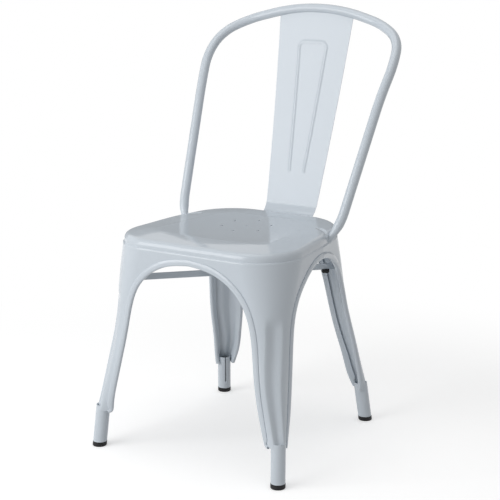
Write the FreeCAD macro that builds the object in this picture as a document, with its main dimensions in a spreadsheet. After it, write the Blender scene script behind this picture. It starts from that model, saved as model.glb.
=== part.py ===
import FreeCAD, Part
import math
import os

import Sketcher
from FreeCAD import Placement, Rotation, Vector

# Metal bistro chair. Millimetres, +Z up, the front faces -Y.
# The origin is on the floor, under the middle of the chair's overall box.

doc = FreeCAD.newDocument("bistro_chair")
sheet = doc.addObject("Spreadsheet::Sheet", "Dimensions")
sheet_rows = 0


def put(alias, value):
    """Write one driving dimension and its alias in the next row of the sheet."""
    global sheet_rows
    sheet_rows += 1
    sheet.set(f"A{sheet_rows}", alias)
    sheet.set(f"B{sheet_rows}", repr(value))
    sheet.setAlias(f"B{sheet_rows}", alias)


def put_rows(prefix, columns, rows):
    """Write a set of stations: prefix_1_column, prefix_1_nextcolumn, prefix_2_column and so on.

    Returns how many stations there are."""
    for number, values in enumerate(rows, 1):
        for column, value in zip(columns, values):
            put(f"{prefix}_{number}_{column}", value)
    return len(rows)


def size(alias):
    """Read one driving dimension from the sheet."""
    return float(getattr(sheet, alias))


def cell(alias):
    """Name a cell for an expression."""
    return "Dimensions." + alias


# Sheet steel and what hangs on its thickness
put("steel", 1.5)
put("lip_depth", 4.0)
put("lip_width", 8.0)

# Seat frame seen from above: straight front and rear, sides that taper rearwards with a
# slight knee where the front and the rear pressings meet
put("seat_front", 236.2)
put("seat_rear", 121.0)
put("seam_depth", 43.0)
put("seam_half_width", 181.4)
put("front_half_width", 205.0)
put("rear_half_width", 146.4)
put("front_corner", 90.0)
put("rear_corner", 107.0)

# Heights
put("apron_top", 415.5)
put("seat_top", 433.3)

# Seat pan
put("pan_inset", 2.0)
put("pan_roll", 11.0)
put("pan_knee", 320.0)
put("dish_sphere", 1300.0)
put("dish_depth", 7.5)
put("dish_back", 60.0)
put("drain_radius", 3.0)
put("drain_ring", 49.0)
put("drain_back", 27.5)
put("drain_count", 6)

# Leg pressings: at each height, the centre and radius of the rounded outer corner, the angles
# by which the two wings turn in towards the chair, and the lengths of the wings. The last
# station is the foot, where the sheet has closed in to the width of the tube.
STATION = ("height", "centre_x", "centre_y", "radius", "face_turn", "side_turn", "face_wing", "side_wing")
put_rows("front", STATION, (
    (415.5, 103.3, 146.2, 90.0, 0.0, 7.0, 112.0, 112.0),
    (335.0, 130.0, 173.2, 62.0, 0.0, 5.0, 134.0, 134.0),
    (256.0, 147.5, 190.7, 46.0, 0.0, 3.0, 120.0, 120.0),
    (187.0, 163.2, 210.0, 36.0, 10.0, 6.0, 100.0, 100.0),
    (128.0, 181.0, 225.5, 26.0, 12.0, 10.0, 78.0, 78.0),
    (71.0, 202.1, 242.1, 14.0, 29.0, 29.0, 55.0, 55.0),
))
put_rows("rear", STATION, (
    (415.5, 59.8, 14.0, 107.0, 0.0, -12.0, 92.0, 92.0),
    (345.0, 107.7, 63.6, 51.3, 0.0, -10.0, 122.0, 127.0),
    (256.0, 124.9, 86.8, 38.5, 0.0, -4.0, 116.0, 118.0),
    (187.0, 137.7, 109.0, 33.5, 4.0, 2.0, 96.0, 96.0),
    (128.0, 148.5, 130.0, 27.5, 17.0, 6.0, 78.0, 78.0),
    (71.0, 169.1, 152.0, 14.0, 22.0, 26.0, 55.0, 55.0),
))

# Arches between the legs. The front and rear ones are given by half their width at a height,
# the side one from its front foot over the top to its rear foot.
ARCH = ("across", "height")
front_arch_rows = put_rows("front_arch", ARCH, (
    (0.0, 391.4), (56.0, 381.8), (96.0, 358.5), (119.0, 332.0), (132.5, 300.0),
    (145.5, 230.0), (159.0, 155.0), (171.0, 100.0), (184.0, 70.0),
))
rear_arch_rows = put_rows("rear_arch", ARCH, (
    (0.0, 389.0), (46.0, 380.0), (76.0, 357.0), (93.0, 322.0), (105.2, 256.7),
    (115.1, 190.0), (125.0, 143.0), (136.0, 97.0), (148.0, 70.0),
))
side_arch_rows = put_rows("side_arch", ARCH, (
    (-224.0, 70.0), (-209.5, 112.0), (-196.5, 154.0), (-187.0, 190.0), (-175.5, 262.0),
    (-167.0, 303.0), (-150.8, 334.5), (-118.7, 363.8), (-85.0, 382.0), (-46.0, 388.5),
    (3.0, 379.0), (42.0, 357.0), (69.0, 322.0), (88.5, 253.0), (106.0, 186.5),
    (125.0, 118.0), (132.0, 70.0),
))

# Feet: the round tube that each pressing closes into, and its rubber glide. The tubes lean
# outwards by these amounts for each millimetre down.
put("tube_radius", 13.7)
put("tube_wall", 2.4)
put("tube_top", 73.0)
put("glide_height", 10.0)
put("glide_radius", 14.0)
put("plug_radius", 11.2)
put("plug_top", 32.0)
put("slit_width", 2.2)
put("slit_start", 26.0)
put("front_foot_x", 206.2)
put("front_foot_y", 249.7)
put("front_lean_x", 0.058)
put("front_lean_y", 0.107)
put("rear_foot_x", 175.1)
put("rear_foot_y", 161.9)
put("rear_lean_x", 0.085)
put("rear_lean_y", 0.14)

# Back hoop: the corners of one half of the bent tube's middle line, from the top down, each with
# the radius of its bend, and last the end of the tube inside the seat frame
put("hoop_radius", 9.5)
put("hoop_wall", 1.5)
put("hoop_clearance", 0.4)
hoop_rows = put_rows("hoop", ("x", "y", "z", "bend"), (
    (55.0, 254.3, 840.5, 370.0), (156.8, 241.1, 814.0, 149.9), (207.1, 211.3, 787.3, 85.2),
    (219.1, 167.8, 743.1, 158.4), (210.1, 130.8, 681.8, 602.3), (185.1, 25.7, 454.0, 138.4),
    (176.2, 11.6, 428.2, 110.0), (155.7, -1.8, 398.0, 0.0),
))

# Pocket in the side apron that takes the end of the hoop, and the room it is given in the pan
put("pocket_top", 418.5)
put("pan_room", 0.6)

# Back splat: its side profile as two arcs, a long one for the back and a short one that turns
# forward on to the rear wall of the seat, and half its width at two heights
put("splat_steel", 1.2)
put("splat_top_y", 252.2)
put("splat_top_z", 840.0)
put("splat_middle_y", 190.0)
put("splat_middle_z", 583.0)
put("splat_knee_y", 152.0)
put("splat_knee_z", 449.0)
put("splat_end_z", 416.5)
put("splat_wide", 87.4)
put("splat_narrow", 57.8)
put("rib_width", 6.5)
put("rib_rise", 1.6)
put("rib_top_x", 32.6)
put("rib_top_z", 772.0)
put("rib_foot_x", 16.8)
put("rib_foot_z", 504.0)

# Cross brace under the seat, its rubber bumpers
put("bar_thickness", 3.0)
put("bar_height", 12.5)
put("bar_base", 334.0)
put("front_corner_reach", 171.6)
put("rear_corner_reach", 142.4)
put("bumper_length", 15.0)
put("bumper_width", 10.0)
put("bumper_height", 11.0)
put("bumper_drop", 7.0)
put("bumper_from_end", 30.0)
doc.recompute()


# Helpers

def add(kind, name):
    return doc.addObject(kind, name)


def name_part(feature, label):
    feature.Label = label
    return feature


def bind(feature, **expressions):
    for path, expression in expressions.items():
        feature.setExpression(path.replace("__", "."), expression)
    return feature


def add_constraint(sketch, label, constraint, expression):
    """Add a dimension to a sketch and bind it to the sheet."""
    sketch.renameConstraint(sketch.addConstraint(constraint), label)
    sketch.setExpression("Constraints." + label, expression)


def boolean(kind, name, base, tool):
    result = add("Part::" + kind, name)
    result.Base = base
    result.Tool = tool
    return result


def union(name, pieces):
    result = add("Part::MultiFuse", name)
    result.Shapes = pieces
    return result


def mirrored(label, source):
    """The same piece on the other side of the chair."""
    result = add("Part::Mirroring", label)
    result.Source = source
    result.Normal = Vector(1, 0, 0)
    return name_part(result, label)


def shape_feature(name, shape):
    feature = add("Part::Feature", name)
    feature.Shape = shape
    return feature


# Seat pan: one shallow pressing with a rolled rim, a dished top and seven drain holes

def pan_form(name, gap, drop):
    """A block with the seat's outline, rolled top edge and dish, drawn in by gap and lowered by drop.

    gap and drop are expressions on the sheet."""
    margin = float(sheet.evalExpression(gap))
    body = add("PartDesign::Body", name)
    sketch = body.newObject("Sketcher::SketchObject", name + "_outline")
    level = next(plane for plane in body.Origin.OriginFeatures if plane.Role == "XY_Plane")
    sketch.AttachmentSupport = [(level, "")]
    sketch.MapMode = "FlatFace"
    bind(sketch, AttachmentOffset__Base__z=cell("apron_top"))
    knees = (("front_half_width", "seat_front", -1, margin), ("seam_half_width", "seam_depth", -1, 0.0),
             ("rear_half_width", "seat_rear", 1, margin))
    right = [Vector(size(across) - margin, side * (size(along) - back), 0)
             for across, along, side, back in knees]
    left = [Vector(-point.x, point.y, 0) for point in reversed(right)]
    bend = size("pan_knee")

    def knee_arc(before, knee, after):
        """The arc that rounds a knee of the outline, with its two ends."""
        back, ahead = (before - knee).normalize(), (after - knee).normalize()
        half_turn = (math.pi - back.getAngle(ahead)) / 2
        start = knee + back * (bend * math.tan(half_turn))
        end = knee + ahead * (bend * math.tan(half_turn))
        centre = knee + (back + ahead).normalize() * (bend / math.cos(half_turn))
        angles = [math.atan2(tip.y - centre.y, tip.x - centre.x) % (2 * math.pi) for tip in (start, end)]
        if angles[1] < angles[0]:
            angles[1] += 2 * math.pi
        return start, Part.ArcOfCircle(Part.Circle(centre, Vector(0, 0, 1), bend), *angles), end

    for first, knee, last in (right, left):
        start, arc, end = knee_arc(first, knee, last)
        sketch.addGeometry(Part.LineSegment(first, start))
        sketch.addGeometry(arc)
        sketch.addGeometry(Part.LineSegment(end, last))
    sketch.addGeometry(Part.LineSegment(right[2], left[0]))
    sketch.addGeometry(Part.LineSegment(left[2], right[0]))
    for knee in (right[1], left[1]):
        sketch.addGeometry(Part.Point(knee), True)
    rule = Sketcher.Constraint
    sketch.addConstraint([
        rule("Tangent", 0, 2, 1, 1), rule("Tangent", 1, 2, 2, 1),
        rule("Tangent", 3, 2, 4, 1), rule("Tangent", 4, 2, 5, 1),
        rule("Coincident", 2, 2, 6, 1), rule("Coincident", 6, 2, 3, 1),
        rule("Coincident", 5, 2, 7, 1), rule("Coincident", 7, 2, 0, 1),
        rule("PointOnObject", 8, 1, 0), rule("PointOnObject", 8, 1, 2),
        rule("PointOnObject", 9, 1, 3), rule("PointOnObject", 9, 1, 5),
        rule("Symmetric", 0, 1, 5, 2, -2), rule("Symmetric", 8, 1, 9, 1, -2),
        rule("Symmetric", 2, 2, 3, 1, -2), rule("Equal", 1, 4),
    ])
    add_constraint(sketch, "knee_bend", rule("Radius", 1, bend), cell("pan_knee"))
    for index, (across, along, side, back) in enumerate(knees):
        point = right[index]
        vertex = ((0, 1), (8, 1), (2, 2))[index]
        add_constraint(sketch, f"across_{index}", rule("DistanceX", -1, 1, *vertex, point.x),
                       f"{cell(across)} - {gap}")
        ends = (*vertex, -1, 1) if side < 0 else (-1, 1, *vertex)
        add_constraint(sketch, f"along_{index}", rule("DistanceY", *ends, abs(point.y)),
                       cell(along) + (f" - {gap}" if back else ""))
    pad = body.newObject("PartDesign::Pad", name + "_pad")
    pad.Profile = sketch
    bind(pad, Length=f"{cell('seat_top')} - {cell('apron_top')} - {drop}")
    doc.recompute()

    def rounded(base, suffix, radius, chosen):
        """Round the edges of base that chosen accepts."""
        fillet = body.newObject("PartDesign::Fillet", name + suffix)
        fillet.Base = (base, [f"Edge{n}" for n, edge in enumerate(base.Shape.Edges, 1) if chosen(edge)])
        bind(fillet, Radius=radius)
        doc.recompute()
        return fillet

    def upright(edge):
        return edge.BoundBox.ZLength > 1

    top = pad.Shape.BoundBox.ZMax
    front = rounded(pad, "_front_corners", f"{cell('front_corner')} - {gap}",
                    lambda edge: upright(edge) and edge.CenterOfMass.y < -100)
    rear = rounded(front, "_rear_corners", f"{cell('rear_corner')} - {gap}",
                   lambda edge: upright(edge) and edge.CenterOfMass.y > 100)
    rounded(rear, "_roll", f"{cell('pan_roll')} - {drop}", lambda edge: edge.BoundBox.ZMin > top - 0.1)
    dish = add("Part::Sphere", name + "_dish")
    bind(dish, Radius=cell("dish_sphere"), Placement__Base__y=f"-{cell('dish_back')}",
         Placement__Base__z=f"{cell('seat_top')} - {cell('dish_depth')} - {drop} + {cell('dish_sphere')}")
    return boolean("Cut", name + "_dished", body, dish)


def drain_holes():
    """One hole in the middle of the dish and six around it."""
    drills = []
    for index in range(int(size("drain_count")) + 1):
        drill = add("Part::Cylinder", f"drain_{index}")
        turn = "" if index == 0 else f"cos({index} * 360 deg / {cell('drain_count')}) * {cell('drain_ring')}"
        rise = "" if index == 0 else f"sin({index} * 360 deg / {cell('drain_count')}) * {cell('drain_ring')}"
        bind(drill, Radius=cell("drain_radius"), Height=cell("pan_roll") + " * 3",
             Placement__Base__y=f"{turn} - {cell('drain_back')}" if turn else f"-{cell('drain_back')}",
             Placement__Base__z=cell("apron_top"))
        if rise:
            bind(drill, Placement__Base__x=rise)
        drills.append(drill)
    return union("drains", drills)


# Leg pressings

def wing_section(name, prefix, station, inset, depth, front):
    """Sketch of the sheet at one height: a rounded corner between two straight wings.

    The outer line lies inset inside the sheet's outer face, and the section is depth thick."""
    def value(column):
        return size(f"{prefix}_{station}_{column}")

    along_y = -1 if front else 1
    centre = Vector(value("centre_x"), along_y * value("centre_y"), 0)
    turn_face, turn_side = math.radians(value("face_turn")), math.radians(value("side_turn"))
    face_normal = Vector(-math.sin(turn_face), along_y * math.cos(turn_face), 0)
    face_way = Vector(-math.cos(turn_face), -along_y * math.sin(turn_face), 0)
    side_normal = Vector(math.cos(turn_side), -along_y * math.sin(turn_side), 0)
    side_way = Vector(-math.sin(turn_side), -along_y * math.cos(turn_side), 0)
    outer = value("radius") - (size(inset) if inset else 0)
    inner = outer - size(depth)

    def line_points(radius):
        face = centre + face_normal * radius
        side = centre + side_normal * radius
        return face + face_way * value("face_wing"), face, side, side + side_way * value("side_wing")

    outline, within = line_points(outer), line_points(inner)
    start, end = (face_normal, side_normal) if front else (side_normal, face_normal)
    angles = [math.atan2(way.y, way.x) for way in (start, end)]
    up = Vector(0, 0, 1)
    sketch = add("Sketcher::SketchObject", name)
    sketch.addGeometry(Part.LineSegment(outline[0], outline[1]))
    sketch.addGeometry(Part.ArcOfCircle(Part.Circle(centre, up, outer), *angles))
    sketch.addGeometry(Part.LineSegment(outline[2], outline[3]))
    sketch.addGeometry(Part.LineSegment(outline[3], within[3]))
    sketch.addGeometry(Part.LineSegment(within[3], within[2]))
    sketch.addGeometry(Part.ArcOfCircle(Part.Circle(centre, up, inner), *angles))
    sketch.addGeometry(Part.LineSegment(within[1], within[0]))
    sketch.addGeometry(Part.LineSegment(within[0], outline[0]))
    face_end, side_end = (1, 2) if front else (2, 1)
    rule = Sketcher.Constraint
    sketch.addConstraint([
        rule("Tangent", 0, 2, 1, face_end), rule("Tangent", 1, side_end, 2, 1),
        rule("Coincident", 2, 2, 3, 1), rule("Coincident", 3, 2, 4, 1),
        rule("Tangent", 4, 2, 5, side_end), rule("Tangent", 5, face_end, 6, 1),
        rule("Coincident", 6, 2, 7, 1), rule("Coincident", 7, 2, 0, 1),
        rule("Coincident", 1, 3, 5, 3), rule("Perpendicular", 3, 2), rule("Perpendicular", 7, 0),
        rule("Parallel", 4, 2), rule("Parallel", 6, 0),
    ])
    row = f"{prefix}_{station}_"
    ends = (1, 3, -1, 1) if front else (-1, 1, 1, 3)
    less = f" - {cell(inset)}" if inset else ""
    add_constraint(sketch, "across", rule("DistanceX", -1, 1, 1, 3, centre.x), cell(row + "centre_x"))
    add_constraint(sketch, "along", rule("DistanceY", *ends, abs(centre.y)), cell(row + "centre_y"))
    add_constraint(sketch, "corner", rule("Radius", 1, outer), cell(row + "radius") + less)
    add_constraint(sketch, "thick", rule("Distance", 3, size(depth)), cell(depth))
    add_constraint(sketch, "face_wing", rule("Distance", 0, value("face_wing")), cell(row + "face_wing"))
    add_constraint(sketch, "side_wing", rule("Distance", 2, value("side_wing")), cell(row + "side_wing"))
    return bind(sketch, Placement__Base__z=cell(row + "height"))


def wing_loft(name, prefix, inset, depth, front):
    loft = add("Part::Loft", name)
    loft.Sections = [wing_section(f"{name}_{station}", prefix, station, inset, depth, front)
                     for station in range(1, 7)]
    loft.Solid = True
    return loft


def arch_points(prefix, count):
    return [(size(f"{prefix}_{n}_across"), size(f"{prefix}_{n}_height")) for n in range(1, count + 1)]


def arch_curve(points, place, grow):
    """The edge of an arch as a smooth curve, moved outwards by grow; place turns (across, height) into 3D."""
    curve = Part.BSplineCurve()
    curve.interpolate([place(*point) for point in points])
    if not grow:
        return curve
    up = Vector(0, 0, 1)
    along = place(1, 0) - place(0, 0)
    first, last = curve.FirstParameter, curve.LastParameter
    steps = 4 * len(points)
    moved = []
    for step in range(steps + 1):
        at = first + (last - first) * step / steps
        way = curve.tangent(at)[0]
        outwards = up * way.dot(along) - along * way.dot(up)
        moved.append(curve.value(at) + outwards * grow)
    curve.interpolate(moved)
    return curve


def arch_tool(name, points, place, away, grow=0.0):
    """The solid that cuts one arch, run along away."""
    edge = arch_curve(points, place, grow).toShape()
    start, end = (vertex.Point for vertex in edge.Vertexes)
    drop = Vector(0, 0, -90)
    corners = [end, end + drop, start + drop, start]
    base = [Part.makeLine(a, b) for a, b in zip(corners, corners[1:])]
    return shape_feature(name, Part.Face(Part.Wire([edge] + base)).extrude(away))


def leaning_cylinder(name, foot, radius, low, high):
    """Part of a leaning round bar, trimmed by two level planes given as cells or numbers."""
    lean = Vector(-size(foot + "_lean_x"), size(foot + "_lean_y") * (1 if foot == "front" else -1), 1)
    steps = 20.0
    bar = add("Part::Cylinder", name + "_bar")
    side = "-" if foot == "front" else ""
    bind(bar, Radius=radius, Height="200",
         Placement__Base__x=f"{cell(foot + '_foot_x')} + {steps} * {cell(foot + '_lean_x')}",
         Placement__Base__y=f"{side}{cell(foot + '_foot_y')} {'-' if foot == 'front' else '+'} "
                            f"{steps} * {cell(foot + '_lean_y')}",
         Placement__Base__z=f"-{steps}")
    bar.Placement = Placement(bar.Placement.Base, Rotation(Vector(0, 0, 1), lean))
    slab = add("Part::Box", name + "_slab")
    bind(slab, Length="400", Width="700", Height=f"{high} - ({low})", Placement__Base__z=low,
         Placement__Base__y="-350")
    return boolean("Common", name, bar, slab)


def foot_tube(foot):
    """The round end of a leg: a tube with the open slit where the sheet's edges meet."""
    low, high = cell("glide_height"), cell("tube_top")
    skin = leaning_cylinder(foot + "_tube_skin", foot, cell("tube_radius"), low, high)
    bore = leaning_cylinder(foot + "_tube_bore", foot, f"{cell('tube_radius')} - {cell('tube_wall')}",
                            f"{low} - 1", f"{high} + 1")
    tube = boolean("Cut", foot + "_tube_hollow", skin, bore)
    slit = add("Part::Box", foot + "_slit")
    bind(slit, Length=cell("tube_radius") + " * 2", Width=cell("slit_width"),
         Height=f"{cell('tube_top')} - {cell('slit_start')} + 5",
         Placement__Base__z=cell("slit_start"))
    way = Vector(-1, 1 if foot == "front" else -1, 0).normalize()
    across = Vector(0, 0, 1).cross(way)
    middle = (size("tube_top") + size("slit_start")) / 2
    outwards = -1 if foot == "front" else 1
    centre = Vector(size(foot + "_foot_x") - size(foot + "_lean_x") * middle,
                    (size(foot + "_foot_y") - size(foot + "_lean_y") * middle) * outwards,
                    size("slit_start"))
    slit.Placement = Placement(centre - across * (size("slit_width") / 2), Rotation(Vector(1, 0, 0), way))
    slit.setExpression("Placement.Base.z", cell("slit_start"))
    return boolean("Cut", foot + "_tube", tube, slit)


def leg_pressing(foot, face_points, side_points):
    """One leg with its half of the two aprons and its foot.

    A thick block is hollowed from inside, except along the arches, where the edge is turned in,
    and at the top, where a narrow shelf carries the seat pan."""
    front = foot == "front"
    along_y = -1 if front else 1
    seam = -size("seam_depth")
    reach = Vector(0, along_y * 400, 0)

    def face_place(across, height):
        return Vector(across, seam, height)

    def side_place(along, height):
        return Vector(40, along, height)

    whole_arch = [(-x, z) for x, z in reversed(face_points[1:])] + face_points
    grow = size("lip_width")
    side_way = Vector(300, 0, 0)
    arches = union(foot + "_arches", [
        arch_tool(foot + "_face_arch", whole_arch, face_place, reach),
        arch_tool(foot + "_side_arch", side_points, side_place, side_way)])
    shelf_slab = add("Part::Box", foot + "_shelf_slab")
    bind(shelf_slab, Length="400", Width="700", Height=cell("steel"), Placement__Base__y="-350",
         Placement__Base__z=f"{cell('apron_top')} - {cell('steel')}")
    kept = union(foot + "_kept", [
        arch_tool(foot + "_face_lip_arch", whole_arch, face_place, reach, grow),
        arch_tool(foot + "_side_lip_arch", side_points, side_place, side_way, grow),
        shelf_slab])
    block = wing_loft(foot + "_block", foot, "", "lip_depth", front)
    hollow = wing_loft(foot + "_hollow", foot, "steel", "lip_depth", front)
    core = boolean("Cut", foot + "_core", hollow, kept)
    pressed = boolean("Cut", foot + "_pressed", boolean("Cut", foot + "_arched", block, arches), core)
    whole = union(foot + "_whole", [pressed, foot_tube(foot)])
    quarter = add("Part::Box", foot + "_quarter")
    bind(quarter, Length="400", Width="400", Height="500",
         Placement__Base__y=f"-{cell('seam_depth')}" + (" - 400" if front else ""))
    return boolean("Common", foot + "_quarter_leg", whole, quarter)


# Back hoop: one steel tube bent to the outline of the back

def hoop_path():
    """The tube's middle line: straight runs joined by bends, one half mirrored to the other."""
    half = [(Vector(*(size(f"hoop_{n}_{axis}") for axis in "xyz")), size(f"hoop_{n}_bend"))
            for n in range(1, hoop_rows + 1)]
    corners = [(Vector(-point.x, point.y, point.z), bend) for point, bend in reversed(half)] + half
    edges = []
    start = corners[0][0]
    for (before, _), (corner, bend), (after, _) in zip(corners, corners[1:], corners[2:]):
        back, ahead = (before - corner).normalize(), (after - corner).normalize()
        half_turn = (math.pi - back.getAngle(ahead)) / 2
        reach = bend * math.tan(half_turn)
        middle = corner + (back + ahead).normalize() * (bend / math.cos(half_turn) - bend)
        edges.append(Part.makeLine(start, corner + back * reach))
        start = corner + ahead * reach
        edges.append(Part.Arc(corner + back * reach, middle, start).toShape())
    edges.append(Part.makeLine(start, corners[-1][0]))
    return shape_feature("hoop_path", Part.Wire(edges))


def hoop_sweep(name, path, radius):
    """A round bar along the middle line."""
    edge = path.Shape.Edges[0]
    ring = add("Part::Circle", name + "_ring")
    bind(ring, Radius=radius)
    ring.Placement = Placement(edge.valueAt(edge.FirstParameter),
                               Rotation(Vector(0, 0, 1), edge.tangentAt(edge.FirstParameter)))
    sweep = add("Part::Sweep", name)
    sweep.Sections = [ring]
    sweep.Spine = (path, [f"Edge{n}" for n in range(1, len(path.Shape.Edges) + 1)])
    sweep.Solid = True
    return sweep


def hoop_pocket(path):
    """The pocket pressed round the right-hand end of the hoop, up to just above the apron."""
    radius = f"{cell('hoop_radius')} + {cell('hoop_clearance')} + {cell('steel')}"
    bulge = hoop_sweep("pocket_bulge", path, radius)
    reach = add("Part::Box", "pocket_reach")
    bind(reach, Length="400", Width="700", Height=cell("pocket_top"), Placement__Base__y="-350")
    return boolean("Common", "pocket", bulge, reach)


# Back splat: a flat pressing with two raised beads, turned forward at its foot

def splat_line():
    """Side profile of the splat's back face: a long arc, and a short arc tangent to it."""
    top = Vector(0, size("splat_top_y"), size("splat_top_z"))
    middle = Vector(0, size("splat_middle_y"), size("splat_middle_z"))
    knee = Vector(0, size("splat_knee_y"), size("splat_knee_z"))
    foot = Vector(0, size("seat_rear") - size("pan_inset") - 1, size("splat_end_z"))
    back = Part.Arc(top, middle, knee).toShape()
    spoke = (knee - back.Curve.Center).normalize()
    chord = foot - knee
    radius = chord.Length ** 2 / (2 * abs(spoke.dot(chord)))
    centre = knee + spoke * math.copysign(radius, spoke.dot(chord))
    outward = (knee - centre).normalize() + (foot - centre).normalize()
    turn = Part.Arc(knee, centre + outward.normalize() * radius, foot).toShape()
    return Part.Wire([back, turn])


def splat_plate(name, thickness):
    """The side profile given a thickness towards the front and drawn out across the chair."""
    face = splat_line().makeOffset2D(thickness, 0, True, True, False)
    face.translate(Vector(-size("seat_rear"), 0, 0))
    return shape_feature(name, face.extrude(Vector(2 * size("seat_rear"), 0, 0)))


def splat_corners():
    """The splat's outline from the front: straight sides that widen upwards."""
    low, high = size("splat_end_z"), size("splat_top_z")
    slope = (size("splat_wide") - size("splat_narrow")) / (high - low)
    reach = 20.0
    wide, narrow = size("splat_wide") + slope * reach, size("splat_narrow") - slope * reach
    return [(-narrow, low - reach), (narrow, low - reach), (wide, high + reach), (-wide, high + reach)]


def outline_prism(name, corners):
    """A prism along Y through the corners, which are (x, z) pairs."""
    points = [Vector(x, 0, z) for x, z in corners]
    face = Part.Face(Part.makePolygon(points + points[:1]))
    return shape_feature(name, face.extrude(Vector(0, 400, 0)))


def rib_prism(name, side):
    """The outline of one bead: a narrow slot that leans outwards towards its top."""
    foot = Vector(side * size("rib_foot_x"), 0, size("rib_foot_z"))
    top = Vector(side * size("rib_top_x"), 0, size("rib_top_z"))
    half = size("rib_width") / 2
    along = (top - foot).normalize()
    across = Vector(along.z, 0, -along.x) * half
    ends = [Part.Arc(foot + across, foot - along * half, foot - across).toShape(),
            Part.makeLine(foot - across, top - across),
            Part.Arc(top - across, top + along * half, top + across).toShape(),
            Part.makeLine(top + across, foot + across)]
    return shape_feature(name, Part.Face(Part.Wire(ends)).extrude(Vector(0, 400, 0)))


# Cross brace: two flat bars on edge, halved into each other where they cross

def brace_bar(name, side, notch_up):
    """A bar from a front corner to the opposite rear corner; side is the sign of x at its front."""
    front = Vector(side * size("front_corner_reach"), -size("front_corner_reach") - size("seam_depth"), 0)
    rear = Vector(-side * size("rear_corner_reach"), size("rear_corner_reach") - size("seam_depth"), 0)
    turn = math.degrees(math.atan2(rear.y - front.y, rear.x - front.x))
    along = (rear - front).normalize()
    start = front + Vector(along.y, -along.x, 0) * (size("bar_thickness") / 2)
    bar = add("Part::Box", name + "_blank")
    bar.Placement = Placement(start, Rotation(Vector(0, 0, 1), turn))
    bind(bar, Length=f"({cell('front_corner_reach')} + {cell('rear_corner_reach')}) * sqrt(2)",
         Width=cell("bar_thickness"), Height=cell("bar_height"), Placement__Base__z=cell("bar_base"))
    notch = add("Part::Box", name + "_notch")
    width = size("bar_thickness")
    corner = Vector(0, -size("seam_depth"), 0) - along * (width / 2) + Vector(along.y, -along.x, 0) * width
    notch.Placement = Placement(corner, Rotation(Vector(0, 0, 1), turn))
    lift = f" + {cell('bar_height')} / 2" if notch_up else ""
    bind(notch, Length=cell("bar_thickness"), Width=f"{cell('bar_thickness')} * 2",
         Height=f"{cell('bar_height')} / 2", Placement__Base__z=cell("bar_base") + lift)
    return boolean("Cut", name + "_bar", bar, notch), bar, along


def bumper(name, blank, corner, along):
    """A rubber block pushed up on to the lower edge of a bar, near its end."""
    block = add("Part::Box", name + "_block")
    across = Vector(along.y, -along.x, 0)
    middle = Vector(corner.x, corner.y, 0) + along * size("bumper_from_end")
    start = middle - along * (size("bumper_length") / 2) + across * (size("bumper_width") / 2)
    turn = math.degrees(math.atan2(along.y, along.x))
    block.Placement = Placement(start, Rotation(Vector(0, 0, 1), turn))
    bind(block, Length=cell("bumper_length"), Width=cell("bumper_width"), Height=cell("bumper_height"),
         Placement__Base__z=f"{cell('bar_base')} - {cell('bumper_drop')}")
    return name_part(boolean("Cut", name, block, blank), name)


# Assembly

path = hoop_path()
hoop_skin = hoop_sweep("hoop_skin", path, cell("hoop_radius"))
hoop_bore = hoop_sweep("hoop_bore", path, f"{cell('hoop_radius')} - {cell('hoop_wall')}")
hoop_room = hoop_sweep("hoop_room", path, f"{cell('hoop_radius')} + {cell('hoop_clearance')}")
back_hoop = name_part(boolean("Cut", "back_hoop", hoop_skin, hoop_bore), "back_hoop")

pan_outside = pan_form("pan_outside", cell("pan_inset"), "0")
pan_inside = pan_form("pan_inside", f"({cell('pan_inset')} + {cell('steel')})", cell("steel"))
pan_shell = boolean("Cut", "pan_shell", pan_outside, pan_inside)
pan_drained = boolean("Cut", "pan_drained", pan_shell, drain_holes())
pan_recess = hoop_sweep("pan_recess", path, f"{cell('hoop_radius')} + {cell('hoop_clearance')} + "
                                            f"{cell('steel')} + {cell('pan_room')}")
seat_pan = name_part(boolean("Cut", "seat_pan", pan_drained, pan_recess), "seat_pan")

side_points = arch_points("side_arch", side_arch_rows)
front_quarter = leg_pressing("front", arch_points("front_arch", front_arch_rows), side_points)
rear_quarter = leg_pressing("rear", arch_points("rear_arch", rear_arch_rows), side_points)
front_right = name_part(front_quarter, "leg_front_right")
rear_pocketed = union("rear_pocketed", [rear_quarter, hoop_pocket(path)])
rear_right = name_part(boolean("Cut", "rear_right", rear_pocketed, hoop_room), "leg_rear_right")
front_left = mirrored("leg_front_left", front_right)
rear_left = mirrored("leg_rear_left", rear_right)
legs = [front_right, front_left, rear_right, rear_left]

sheet_outline = outline_prism("splat_outline", splat_corners())
plain_splat = boolean("Common", "plain_splat", splat_plate("splat_plate", size("splat_steel")), sheet_outline)
raised_plate = splat_plate("raised_plate", size("splat_steel") + size("rib_rise"))
ribs = boolean("Common", "ribs", raised_plate, union("rib_slots", [rib_prism("rib_left", -1),
                                                                   rib_prism("rib_right", 1)]))
ribbed = union("ribbed_splat", [plain_splat, ribs])
clear_of = union("splat_neighbours", [hoop_skin, pan_outside])
back_splat = name_part(boolean("Cut", "back_splat", ribbed, clear_of), "back_splat")

frame = union("leg_frame", legs)
bars, bumpers = [], []
for hand, side in (("right", 1), ("left", -1)):
    rough, blank, along = brace_bar("brace_" + hand, side, side > 0)
    bars.append(name_part(boolean("Cut", "cross_bar_" + hand, rough, frame), "cross_bar_" + hand))
    front = Vector(side * size("front_corner_reach"), -size("front_corner_reach") - size("seam_depth"), 0)
    rear = Vector(-side * size("rear_corner_reach"), size("rear_corner_reach") - size("seam_depth"), 0)
    other = "left" if hand == "right" else "right"
    bumpers.append(bumper("bumper_front_" + hand, blank, front, along))
    bumpers.append(bumper("bumper_rear_" + other, blank, rear, along * -1))

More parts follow.
